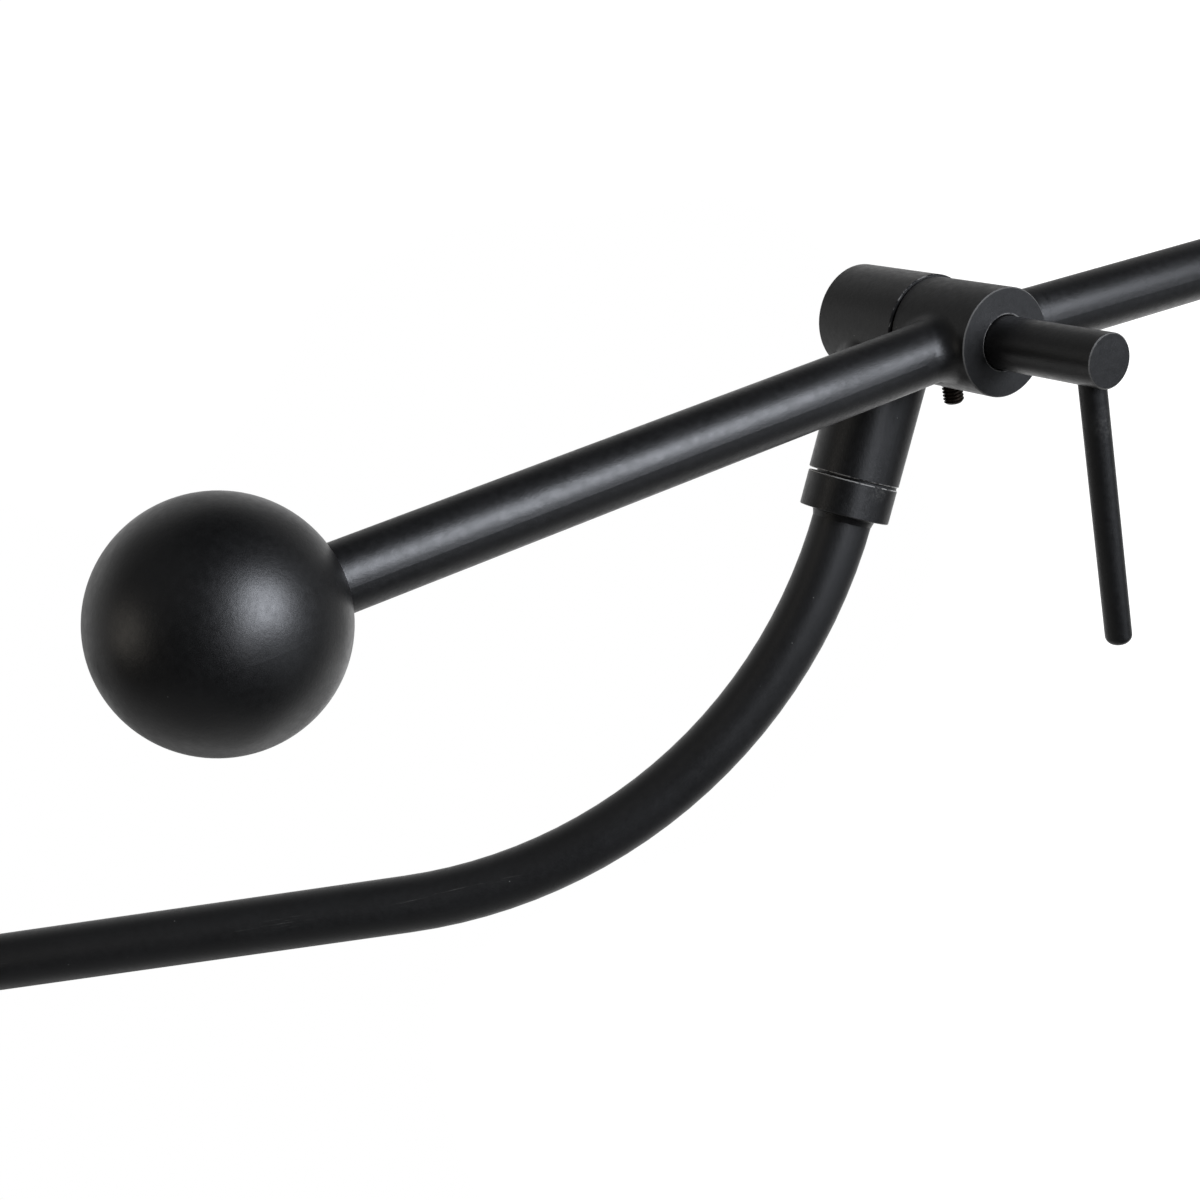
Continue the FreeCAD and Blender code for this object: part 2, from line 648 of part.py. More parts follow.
def tilt_hub():
    """Barrel with two necks.  The body's Z axis is the tilt axis and its X axis lies along the boom."""
    body = turned("tilt_hub", [
        ("0", "-dims.hub_seam_side"),
        ("dims.hub_dia / 2 - dims.hub_edge", "-dims.hub_seam_side"),
        ("dims.hub_dia / 2", "dims.hub_edge - dims.hub_seam_side"),
        ("dims.hub_dia / 2", "dims.hub_face_side - dims.hub_edge"),
        ("dims.hub_dia / 2 - dims.hub_edge", "dims.hub_face_side"),
        ("0", "dims.hub_face_side"),
    ])
    weight_turn = "180 + dims.weight_drop - dims.boom_rise"
    grub_turn = "-dims.handle_drop - dims.boom_rise"
    extrude(body, "boom_neck", "YZ_Plane", draw_circle, "dims.rod_dia", "dims.neck_length")
    extrude(body, "weight_neck", "YZ_Plane", draw_circle, "dims.rod_dia", "dims.neck_length",
            swing=weight_turn)

    def on_neck(edge):
        return isinstance(edge.Curve, Part.BSplineCurve)

    def on_bore(edge):
        return is_ring(edge, size["shaft_dia"] / 2 + size["slip"], size["hub_face_side"])

    round_edges(body, "neck_fillets", on_neck, "dims.neck_fillet")
    extrude(body, "boom_tenon", "YZ_Plane", draw_circle, "dims.rod_dia - 2 * dims.boom_wall - 2 * dims.slip",
            "dims.neck_length + dims.tenon_length")
    extrude(body, "weight_tenon", "YZ_Plane", draw_circle, "dims.rod_tenon_dia",
            "dims.neck_length + dims.tenon_length", swing=weight_turn)
    cut(body, "shaft_bore", "XY_Plane", draw_circle, "dims.shaft_dia + 2 * dims.slip",
        "dims.hub_face_side + dims.hub_seam_side", start="dims.hub_face_side")
    round_edges(body, "bore_mouth", on_bore, "dims.hub_bore_edge", "PartDesign::Chamfer")
    cut(body, "hub_seam_recess", "XY_Plane", draw_circle, "dims.seam_washer_dia + 2 * dims.run",
        SEAM_RECESS, start="-dims.hub_seam_side", reverse=True)
    cut(body, "grub_hole", "YZ_Plane", draw_circle, "dims.grub_dia + 2 * dims.slip", "dims.hub_dia",
        swing=grub_turn, up="-dims.hub_grub_place", reverse=True)
    stand(body, HUB, TILT_AXIS, BOOM)


HUB_PLACE = "(dims.tee_front + dims.seam_gap + dims.hub_seam_side)"
SHOULDER = "(4 * dims.face_gap - %s - dims.tee_web / 2)" % HUB_PLACE


def tilt_shaft():
    """Stepped shaft.  The body's Z axis is the tilt axis and its X axis points along the handle."""
    end = "(%s - dims.thread_length)" % SHOULDER
    body = turned("tilt_shaft", [
        ("0", end),
        ("dims.thread_dia / 2 - dims.shaft_edge", end),
        ("dims.thread_dia / 2", "%s + dims.shaft_edge" % end),
        ("dims.thread_dia / 2", SHOULDER),
        ("dims.shaft_dia / 2", SHOULDER),
        ("dims.shaft_dia / 2", "dims.shaft_reach - dims.shaft_edge"),
        ("dims.shaft_dia / 2 - dims.shaft_edge", "dims.shaft_reach"),
        ("0", "dims.shaft_reach"),
    ])
    cut(body, "handle_hole", "YZ_Plane", draw_circle, "dims.handle_dia + 2 * dims.slip", "dims.handle_depth",
        start="dims.shaft_dia / 2", up="dims.handle_place")
    cut(body, "grub_dimple", "YZ_Plane", draw_circle, "dims.grub_dia + 2 * dims.slip", "dims.hub_grub_dimple",
        start="dims.shaft_dia / 2", up="-dims.hub_grub_place")
    stand(body, HUB, TILT_AXIS, HANDLE)


def handle_bar():
    body = turned("handle_bar", [
        ("0", "dims.shaft_dia / 2 - dims.handle_depth"),
        ("dims.handle_dia / 2", "dims.shaft_dia / 2 - dims.handle_depth"),
        ("dims.handle_dia / 2", "dims.handle_length"),
        ("0", "dims.handle_length"),
    ])

    def on_tip(edge):
        return is_ring(edge, size["handle_dia"] / 2, size["handle_length"])

    round_edges(body, "round_tip", on_tip, "dims.handle_tip")
    stand(body, HUB + TILT_AXIS * size["handle_place"], HANDLE, TILT_AXIS)


def hub_set_screw():
    reach = size["shaft_dia"] / 2 - size["hub_grub_dimple"]
    stand(set_screw("hub_set_screw", "dims.hub_grub_length"),
          HUB - TILT_AXIS * size["hub_grub_place"] + HANDLE * reach, HANDLE, TILT_AXIS)


def stack_point(distance):
    """Point on the tilt axis, this far behind the tee's web."""
    return along_tilt(-size["tee_web"] / 2 - size["face_gap"] - distance)


def backing_washer():
    stand(turned("backing_washer", [
        ("dims.thread_dia / 2 + dims.run", "0"),
        ("dims.spring_dia / 2 + dims.backing_thick / 2", "0"),
        ("dims.spring_dia / 2 + dims.backing_thick / 2", "dims.backing_thick"),
        ("dims.thread_dia / 2 + dims.run", "dims.backing_thick"),
    ]), stack_point(0), TILT_AXIS.negative(), SIDE)


def disc_spring(label, inner_lift, outer_lift, place):
    """Coned washer: one rim stands higher than the other."""
    inner = "dims.thread_dia / 2 + 2 * dims.run"
    outer = "dims.spring_dia / 2"
    stand(turned(label, [
        (inner, inner_lift),
        (outer, outer_lift),
        (outer, "%s + dims.spring_thick" % outer_lift),
        (inner, "%s + dims.spring_thick" % inner_lift),
    ]), stack_point(place), TILT_AXIS.negative(), SIDE)


def tilt_nut():
    """Hexagon nut whose corners are crowned at both ends."""
    body = new_body("tilt_nut")
    extrude(body, "nut_block", "XY_Plane", draw_hexagon, "dims.nut_flats", "dims.nut_height")
    corner = "dims.nut_flats / 2 + dims.nut_crown_reach"
    turn(body, "nut_crown_top", [
        ("dims.nut_flats / 2", "dims.nut_height"),
        (corner, "dims.nut_height"),
        (corner, "dims.nut_height - dims.nut_crown_drop"),
    ], "PartDesign::Groove")
    turn(body, "nut_crown_foot", [
        ("dims.nut_flats / 2", "0"),
        (corner, "dims.nut_crown_drop"),
        (corner, "0"),
    ], "PartDesign::Groove")
    cut(body, "nut_bore", "XY_Plane", draw_circle, "dims.thread_dia + 2 * dims.slip", "dims.nut_height",
        reverse=True)
    behind = size["backing_thick"] + 2 * (size["spring_thick"] + size["spring_rise"])
    stand(body, stack_point(behind), TILT_AXIS.negative(), SIDE)


# ---- counterweight side ----------------------------------------------------------------------------

ROD_END = "(dims.ball_distance - dims.ball_dia / 2 + dims.ball_recess)"
rod_end = size["ball_distance"] - size["ball_dia"] / 2 + size["ball_recess"]


def weight_rod():
    """Solid bar, bored at one end for the hub's tenon and at the other for the ball's stud."""
    tenon_hole = "dims.neck_length + dims.tenon_length + 4 * dims.run"
    stand(turned("weight_rod", [
        ("0", tenon_hole),
        ("dims.rod_tenon_dia / 2 + dims.slip", tenon_hole),
        ("dims.rod_tenon_dia / 2 + dims.slip", "dims.neck_length"),
        ("dims.rod_dia / 2", "dims.neck_length"),
        ("dims.rod_dia / 2", ROD_END),
        ("dims.stud_dia / 2 + dims.slip", ROD_END),
        ("dims.stud_dia / 2 + dims.slip", "%s - dims.stud_in_rod" % ROD_END),
        ("0", "%s - dims.stud_in_rod" % ROD_END),
    ]), HUB, WEIGHT, TILT_AXIS)


def ball_stud():
    foot = "dims.run - dims.stud_in_rod"
    top = "dims.stud_in_ball - dims.run"
    stand(turned("ball_stud", [
        ("0", foot),
        ("dims.stud_dia / 2 - dims.tenon_edge", foot),
        ("dims.stud_dia / 2", "%s + dims.tenon_edge" % foot),
        ("dims.stud_dia / 2", "%s - dims.tenon_edge" % top),
        ("dims.stud_dia / 2 - dims.tenon_edge", top),
        ("0", top),
    ]), HUB + WEIGHT * rod_end, WEIGHT, TILT_AXIS)


def part_cylinder(name, radius, height, bottom):
    cylinder = doc.addObject("Part::Cylinder", name)
    cylinder.setExpression("Radius", radius)
    cylinder.setExpression("Height", height)
    cylinder.setExpression("Placement.Base.z", bottom)
    return cylinder


def ball_weight():
    """Ball with a recess for the rod's end and a deeper hole for the stud, both on its -Z side."""
    ball = doc.addObject("Part::Sphere", "ball_blank")
    ball.setExpression("Radius", "dims.ball_dia / 2")
    recess = part_cylinder("ball_recess", "dims.rod_dia / 2 + dims.slip", "dims.ball_dia / 2",
                           "dims.ball_recess - dims.ball_dia")
    stud_hole = part_cylinder("ball_stud_hole", "dims.stud_dia / 2 + dims.slip",
                              "dims.ball_dia / 2 + dims.stud_in_ball", "dims.ball_recess - dims.ball_dia")
    holes = doc.addObject("Part::Fuse", "ball_holes")
    holes.Base = recess
    holes.Tool = stud_hole
    weight = doc.addObject("Part::Cut", "ball_weight")
    weight.Label = "ball_weight"
    weight.Base = ball
    weight.Tool = holes
    doc.recompute()
    stand(weight, HUB + WEIGHT * size["ball_distance"], WEIGHT, TILT_AXIS)
    sub_parts.append(weight)


# ---- boom side -------------------------------------------------------------------------------------

def boom_tube():
    stand(turned("boom_tube", [
        ("dims.rod_dia / 2 - dims.boom_wall", "dims.neck_length"),
        ("dims.rod_dia / 2", "dims.neck_length"),
        ("dims.rod_dia / 2", "dims.boom_length"),
        ("dims.rod_dia / 2 - dims.boom_wall", "dims.boom_length"),
    ]), HUB, BOOM, TILT_AXIS)


def boom_nipple():
    """End piece: a plug in the tube, a flange as wide as the tube, and a hollow thread."""
    tip = "dims.nipple_flange + dims.nipple_length"
    stand(turned("boom_nipple", [
        ("dims.nipple_bore / 2", "-dims.nipple_plug"),
        ("dims.rod_dia / 2 - dims.boom_wall - dims.slip", "-dims.nipple_plug"),
        ("dims.rod_dia / 2 - dims.boom_wall - dims.slip", "0"),
        ("dims.rod_dia / 2", "0"),
        ("dims.rod_dia / 2", "dims.nipple_flange"),
        ("dims.nipple_dia / 2", "dims.nipple_flange"),
        ("dims.nipple_dia / 2", "%s - dims.tenon_edge" % tip),
        ("dims.nipple_dia / 2 - dims.tenon_edge", tip),
        ("dims.nipple_bore / 2", tip),
    ]), HUB + BOOM * size["boom_length"], BOOM, TILT_AXIS)


# ---- build, check and write ------------------------------------------------------------------------

wall_plate()
arm_boss()
boss_screw()
arm_set_screw()
support_arm()
swivel_collar()
swivel_pin()
swivel_washer()
retaining_ring()
swivel_bush()
pivot_tee()
tilt_bush()
seam_washer()
rear_cap()
tilt_hub()
tilt_shaft()
hub_set_screw()
handle_bar()
backing_washer()
disc_spring("front_disc_spring", "0", "dims.spring_rise", size["backing_thick"])
disc_spring("rear_disc_spring", "dims.spring_rise", "0",
            size["backing_thick"] + size["spring_thick"] + size["spring_rise"])
tilt_nut()
weight_rod()
ball_stud()
ball_weight()
boom_tube()
boom_nipple()

doc.recompute()
for item in doc.Objects:
    if "Invalid" in item.State or "Error" in item.State:
        raise RuntimeError("%s failed: %s" % (item.Label, item.State))

os.makedirs("parts", exist_ok=True)
for item in sub_parts:
    if item.Shape.isNull() or not item.Shape.isValid() or not item.Shape.Solids:
        raise RuntimeError("%s has no valid solid" % item.Label)
    item.Shape.exportStep("parts/%s.step" % item.Label)
    print("%-20s %9.1f mm3  %d solid(s)" % (item.Label, item.Shape.Volume, len(item.Shape.Solids)))
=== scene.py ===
import json
import math
from functools import reduce

import bpy
from mathutils import Matrix, Quaternion, Vector


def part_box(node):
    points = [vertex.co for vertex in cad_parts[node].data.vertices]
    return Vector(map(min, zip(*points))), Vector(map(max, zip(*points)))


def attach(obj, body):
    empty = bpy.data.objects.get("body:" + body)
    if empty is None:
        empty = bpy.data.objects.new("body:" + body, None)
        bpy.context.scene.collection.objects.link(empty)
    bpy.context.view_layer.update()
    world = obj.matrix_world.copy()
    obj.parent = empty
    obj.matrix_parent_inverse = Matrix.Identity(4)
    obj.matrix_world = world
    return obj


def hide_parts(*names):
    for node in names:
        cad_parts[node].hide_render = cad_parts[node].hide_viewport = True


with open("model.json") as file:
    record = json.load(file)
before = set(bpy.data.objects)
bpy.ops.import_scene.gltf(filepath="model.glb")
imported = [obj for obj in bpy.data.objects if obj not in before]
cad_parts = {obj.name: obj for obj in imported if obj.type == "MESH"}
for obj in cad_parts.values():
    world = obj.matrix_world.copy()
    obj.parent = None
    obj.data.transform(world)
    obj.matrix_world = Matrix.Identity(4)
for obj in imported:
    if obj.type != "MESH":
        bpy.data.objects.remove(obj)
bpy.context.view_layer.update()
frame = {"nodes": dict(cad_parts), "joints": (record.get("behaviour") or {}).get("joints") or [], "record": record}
mm = 0.001


# ---- places, read from the frame ----

joints = {joint["name"]: joint for joint in frame["joints"]}
pivot = Vector(joints["tilt"]["pos_m"])              # swivel axis meets tilt axis
tiltAxis = Vector(joints["tilt"]["axis"]).normalized()
upward = Vector((0, 0, 1))
outward = Vector((0, -1, 0))                         # away from the wall
sideways = upward.cross(tiltAxis)                    # level, on the boom's side

arm = {                                # sizes in millimetres, angles in degrees
    "barrelDia": 20.5,
    "teeDia": 21.4,
    "teeRear": 11.1,                   # from the swivel axis back to the cap
    "teeFront": 10.9,
    "seamGap": 0.3,
    "hubLength": 20.3,
    "hubCentre": 21.9,
    "shaftEnd": 57.5,
    "shaftDia": 10.0,
    "socketDia": 18.5,
    "boomRise": 25.0,
    "weightDrop": 29.0,
    "handleDrop": 59.7,
    "middleRise": 23.5,                # of the tube between its two bends
    "plateDia": 72.0,
    "plateFront": 5.0,
    "bossDia": 22.0,
    "bossFront": 25.0,
}


def slope(degrees):
    # direction in the tilt plane, measured up from the level
    angle = math.radians(degrees)
    return sideways * math.cos(angle) + upward * math.sin(angle)


boomWay = slope(arm["boomRise"])
weightWay = slope(180 + arm["weightDrop"])
handleWay = slope(-arm["handleDrop"])


def alongTilt(distance):
    return pivot + tiltAxis * distance * mm


def centreOf(node):
    low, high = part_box(node)
    return (low + high) / 2


# ---- shader maths: a socket that adds, multiplies and so on ----

class Wire:
    def __init__(self, paint, socket):
        self.paint, self.socket = paint, socket

    def maths(self, operation, *others):
        return self.paint.make("ShaderNodeMath", {"operation": operation}, [self, *others])

    def output(self, name):
        return Wire(self.paint, self.socket.node.outputs[name])

    def __add__(self, other):
        return self.maths("ADD", other)

    def __radd__(self, other):
        return self.maths("ADD", other)

    def __sub__(self, other):
        return self.maths("SUBTRACT", other)

    def __rsub__(self, other):
        return self.paint.make("ShaderNodeMath", {"operation": "SUBTRACT"}, [other, self])

    def __mul__(self, other):
        return self.maths("MULTIPLY", other)

    def __truediv__(self, other):
        return self.maths("DIVIDE", other)

    def __pow__(self, other):
        return self.maths("POWER", other)


class Paint:
    def __init__(self, name):
        self.material = bpy.data.materials.new(name)
        self.material.use_nodes = True
        self.tree = self.material.node_tree
        self.surface = self.tree.nodes["Principled BSDF"]

    def fill(self, socket, value):
        if isinstance(value, Wire):
            self.tree.links.new(value.socket, socket)
        elif isinstance(value, (tuple, list)) and len(value) == 3 and len(socket.default_value) == 4:
            socket.default_value = (*value, 1)
        else:
            socket.default_value = value

    def make(self, kind, settings=None, values=None, output=0):
        node = self.tree.nodes.new(kind)
        for name, setting in (settings or {}).items():
            setattr(node, name, setting)
        pairs = values.items() if isinstance(values, dict) else enumerate(values or [])
        for name, value in pairs:
            self.fill(node.inputs[name], value)
        return Wire(self, node.outputs[output])

    def place(self):
        return self.make("ShaderNodeTexCoord", output="Object")

    def noise(self, size, detail=2, rough=0.5, where=None):
        # size in millimetres from one blob to the next
        return self.make("ShaderNodeTexNoise", {}, {
            "Vector": where or self.place(), "Scale": 1 / (size * mm),
            "Detail": detail, "Roughness": rough})

    def ramp(self, value, low, high):
        # 0 at low, 1 at high, eased between
        return self.make("ShaderNodeMapRange", {"interpolation_type": "SMOOTHSTEP"},
                         {"Value": value, "From Min": low, "From Max": high})

    def vector(self, operation, first, second, output=0):
        return self.make("ShaderNodeVectorMath", {"operation": operation}, [first, second], output)

    def along(self, point, way):
        # metres past a plane that goes through the point
        offset = self.vector("SUBTRACT", self.place(), tuple(point))
        return self.vector("DOT_PRODUCT", offset, tuple(way), "Value")

    def polar(self, point, axis):
        # height along an axis, and distance from it
        height = self.along(point, axis)
        offset = self.vector("SUBTRACT", self.place(), tuple(point))
        arrow = self.vector("CROSS_PRODUCT", offset, tuple(axis))
        return height, self.make("ShaderNodeVectorMath", {"operation": "LENGTH"}, [arrow], "Value")

    def join(self, *parts):
        return self.make("ShaderNodeCombineXYZ", {}, list(parts))

    def lathe(self, point, axis, pitch):
        # fine rings, as a turning tool leaves them
        height, reach = self.polar(point, axis)
        return self.noise(pitch, 3, 0.6, self.join(height, reach, 0.0))

    def specks(self, spacing, share, size):
        # a few dots of about this size, at most one in a cell
        cell = self.make("ShaderNodeTexVoronoi", {}, {"Vector": self.place(), "Scale": 1 / (spacing * mm)})
        chance = self.make("ShaderNodeSeparateColor", {}, [cell.output("Color")])
        dot = self.ramp(cell, size / spacing, size / spacing * 0.4)
        return dot * self.make("ShaderNodeMath", {"operation": "LESS_THAN"}, [chance, share])

    def most(self, masks):
        return reduce(lambda first, second: first.maths("MAXIMUM", second), masks)

    def mix(self, factor, first, second):
        return self.make("ShaderNodeMix", {"data_type": "RGBA"}, {0: factor, 6: first, 7: second}, 2)

    def set(self, **sockets):
        for name, value in sockets.items():
            self.fill(self.surface.inputs[name.replace("_", " ")], value)

    def bump(self, height, strength, distance, under=None):
        values = {"Height": height, "Strength": strength, "Distance": distance}
        if under:
            values["Normal"] = under
        return self.make("ShaderNodeBump", {}, values)


# ---- powder coat, with its rubbed edges, its painted edge highlights and its scuffs ----

powder = {
    "colour": (0.0036, 0.0036, 0.0036),
    "paler": (0.0062, 0.0062, 0.0064),
    "roughness": 0.40,
    "cloud": 11.0,                     # millimetres across one blob
    "mottle": 1.3,
    "peel": 0.55,
    "grain": 0.16,
    "bump": 0.70,
    "bumpDepth": 0.00008,
    "mottleRough": 0.26,
    "cloudRough": 0.08,
    "dust": (0.16, 0.16, 0.15),
    "dustSpacing": 2.0,
    "dustSize": 0.16,
    "scuff": (0.045, 0.044, 0.041),
    "scuffRough": 0.12,
    "blotchRough": 0.30,
    # pale edge colour: bare steel where an edge has rubbed through, and a painted highlight on the hub's face
    # edges
    "bareSteelAndGlint": (0.42, 0.41, 0.39),
    "bareMetal": 0.35,
}


def rim(point, axis, dia, width=0.16, amount=1.0, gaps=0.5):
    # a round edge drawn pale: rubbed wear on most rims, a painted highlight on the hub's face edges; width in
    # millimetres, gaps from 0, whole, to 1, mostly gone
    return {"point": point, "axis": axis, "radius": dia / 2, "width": width, "amount": amount, "gaps": gaps}


def rimWearAndGlint(paint, edge):
    # mask of one pale rim; on the hub's face the rim is a painted highlight, elsewhere rubbed wear
    height, reach = paint.polar(edge["point"], edge["axis"])
    off = reach - edge["radius"] * mm
    away = (off * off + height * height) ** 0.5 / mm
    ragged = paint.noise(0.45, 3, 0.7) - 0.5
    line = paint.ramp(away + ragged * edge["width"] * 0.5, edge["width"], edge["width"] * 0.6)
    kept = paint.ramp(paint.noise(2.6, 3, 0.75), edge["gaps"] - 0.08, edge["gaps"] + 0.06)
    return line * kept * edge["amount"]


def scuff(point, way, normal, length, width, amount=1.0):
    return {"point": point, "way": way, "across": way.cross(normal).normalized(), "length": length,
            "width": width, "amount": amount}


def scuffMarks(paint, mark):
    # thin broken lines that fade out to the ends and the sides
    far = paint.along(mark["point"], mark["way"]) / mm
    aside = paint.along(mark["point"], mark["across"]) / mm
    streaks = paint.make("ShaderNodeTexNoise", {}, {
        "Vector": paint.join(far * 0.10, aside * 3.2, 0.0), "Scale": 1.0, "Detail": 3, "Roughness": 0.6})
    inside = (far / (mark["length"] / 2)) ** 2 + (aside / (mark["width"] / 2)) ** 2
    return paint.ramp(streaks, 0.54, 0.68) * paint.ramp(inside, 1.0, 0.15) * mark["amount"]


def rubbedPatches(paint, spot):
    # a soft round patch where the coat is blotched
    offset = paint.vector("SUBTRACT", paint.place(), tuple(spot["point"]))
    away = paint.make("ShaderNodeVectorMath", {"operation": "LENGTH"}, [offset], "Value") / mm
    blotch = paint.ramp(paint.noise(spot["grain"], 4, 0.7), 0.40, 0.66)
    return paint.ramp(away, spot["radius"], spot["radius"] * 0.3) * blotch * spot["amount"]


def powderCoat(name, rims=(), scuffs=(), pale=(), dark=(), dusty=0.02, smooth=1.0, rough=None, tint=1.0):
    paint = Paint(name)
    cloud = paint.noise(powder["cloud"], 3)
    mottle = paint.noise(powder["mottle"], 3, 0.6)
    peel = paint.noise(powder["peel"], 2)
    grain = paint.noise(powder["grain"], 2)
    shades = [tuple(part * tint for part in powder[shade]) for shade in ("colour", "paler")]
    colour = paint.mix(cloud * 0.6 + mottle * 0.4, *shades)
    rough = (rough or powder["roughness"]) + (mottle - 0.5) * powder["mottleRough"] * smooth
    rough = rough + (cloud - 0.5) * powder["cloudRough"]
    dots = paint.specks(powder["dustSpacing"], dusty, powder["dustSize"])
    colour = paint.mix(dots * 0.8, colour, powder["dust"])
    if scuffs:
        marks = paint.most([scuffMarks(paint, mark) for mark in scuffs])
        colour = paint.mix(marks, colour, powder["scuff"])
        rough = rough + marks * powder["scuffRough"]
    if pale:
        patches = paint.most([rubbedPatches(paint, spot) for spot in pale])
        colour = paint.mix(patches, colour, powder["scuff"])
    if dark:
        patches = paint.most([rubbedPatches(paint, spot) for spot in dark])
        rough = rough + patches * powder["blotchRough"]
    metal = 0.0
    if rims:
        # pale bare-steel edges: rubbed wear, and on the hub's face a painted highlight
        wornAndGlint = paint.most([rimWearAndGlint(paint, edge) for edge in rims])
        colour = paint.mix(wornAndGlint, colour, powder["bareSteelAndGlint"])
        metal = wornAndGlint * powder["bareMetal"]
    height = mottle * 0.35 + peel * 0.4 + grain * 0.25
    paint.set(Base_Color=colour, Roughness=rough, Metallic=metal,
              Normal=paint.bump(height, powder["bump"] * smooth, powder["bumpDepth"]))
    return paint.material


# ---- the other finishes ----

def blackOxide(name, point, axis):
    # oiled black oxide, browner where the oil has dried
    paint = Paint(name)
    patches = paint.noise(1.2, 3)
    rings = paint.lathe(point, axis, 0.12)
    paint.set(Base_Color=paint.mix(patches, (0.020, 0.018, 0.016), (0.055, 0.040, 0.030)), Metallic=0.8,
              Roughness=0.34 + patches * 0.14,
              Normal=paint.bump(rings * 0.6 + patches * 0.4, 0.25, 0.00003))
    return paint.material


def zincPlate(name, point, axis):
    # bright zinc with a blue cast and faint turning rings
    paint = Paint(name)
    cloud = paint.noise(3.0, 3)
    rings = paint.lathe(point, axis, 0.18)
    paint.set(Base_Color=paint.mix(cloud, (0.52, 0.55, 0.60), (0.66, 0.67, 0.66)), Metallic=1.0,
              Roughness=0.26 + cloud * 0.12 + rings * 0.08, Normal=paint.bump(rings, 0.22, 0.00004))
    return paint.material


def bluedSpring(name, point, axis):
    # heat-blued steel, straw coloured in patches
    paint = Paint(name)
    heat = paint.noise(4.0, 2)
    rings = paint.lathe(point, axis, 0.10)
    paint.set(Base_Color=paint.mix(heat, (0.10, 0.12, 0.20), (0.26, 0.20, 0.13)), Metallic=1.0,
              Roughness=0.30 + rings * 0.12, Normal=paint.bump(rings, 0.25, 0.00003))
    return paint.material


def turnedBrass(name, point, axis):
    # plain brass that has dulled in blotches
    paint = Paint(name)
    tarnish = paint.ramp(paint.noise(3.5, 4, 0.6), 0.42, 0.66)
    rings = paint.lathe(point, axis, 0.16)
    paint.set(Base_Color=paint.mix(tarnish, (0.80, 0.60, 0.28), (0.50, 0.34, 0.15)), Metallic=1.0,
              Roughness=0.24 + tarnish * 0.18 + rings * 0.08, Normal=paint.bump(rings, 0.25, 0.00004))
    return paint.material


def sinteredBronze(name):
    # oiled bronze with open pores; the pores are painted near black, a painted shade inside the pits
    paint = Paint(name)
    pores = paint.specks(0.22, 0.55, 0.06)
    cloud = paint.noise(2.0, 3)
    colour = paint.mix(cloud, (0.44, 0.27, 0.13), (0.58, 0.38, 0.19))
    paint.set(Base_Color=paint.mix(pores, colour, (0.05, 0.03, 0.02)), Metallic=paint.ramp(pores, 1.0, 0.0),
              Roughness=0.42 + pores * 0.3, Normal=paint.bump(1 - pores, 0.35, 0.00004))
    return paint.material


def nylon(name, colour, paler):
    # moulded or cut nylon: soft sheen, faint flow marks
    paint = Paint(name)
    flow = paint.noise(2.4, 4, 0.6)
    grain = paint.noise(0.12, 2)
    paint.set(Base_Color=paint.mix(flow, colour, paler), Roughness=0.46 + (grain - 0.5) * 0.14,
              Normal=paint.bump(grain * 0.5 + flow * 0.5, 0.25, 0.00004))
    return paint.material


def mouldedCap(name):
    # black polyethylene with a spark-eroded texture
    paint = Paint(name)
    spark = paint.noise(0.22, 3, 0.7)
    bloom = paint.noise(5.0, 2)
    paint.set(Base_Color=paint.mix(bloom, (0.010, 0.010, 0.011), (0.018, 0.018, 0.019)),
              Roughness=0.50 + (spark - 0.5) * 0.20, Normal=paint.bump(spark, 0.45, 0.00006))
    return paint.material


collarLow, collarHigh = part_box("swivel_collar")
collarAxis = Vector((pivot.x, pivot.y, collarHigh.z))
collarDia = (collarHigh.x - collarLow.x) / mm
socketFoot = Vector((pivot.x, pivot.y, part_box("pivot_tee")[0].z))
seamTee = alongTilt(arm["teeFront"])
seamHub = alongTilt(arm["teeFront"] + arm["seamGap"])
hubFace = alongTilt(arm["teeFront"] + arm["seamGap"] + arm["hubLength"])
middleRise = math.radians(arm["middleRise"])
middleWay = Vector((0, -math.cos(middleRise), math.sin(middleRise)))


def byPivot(x, y, z):
    return pivot + Vector((x, y, z)) * mm


def patch(point, radius, grain, amount):
    return {"point": point, "radius": radius, "grain": grain, "amount": amount}


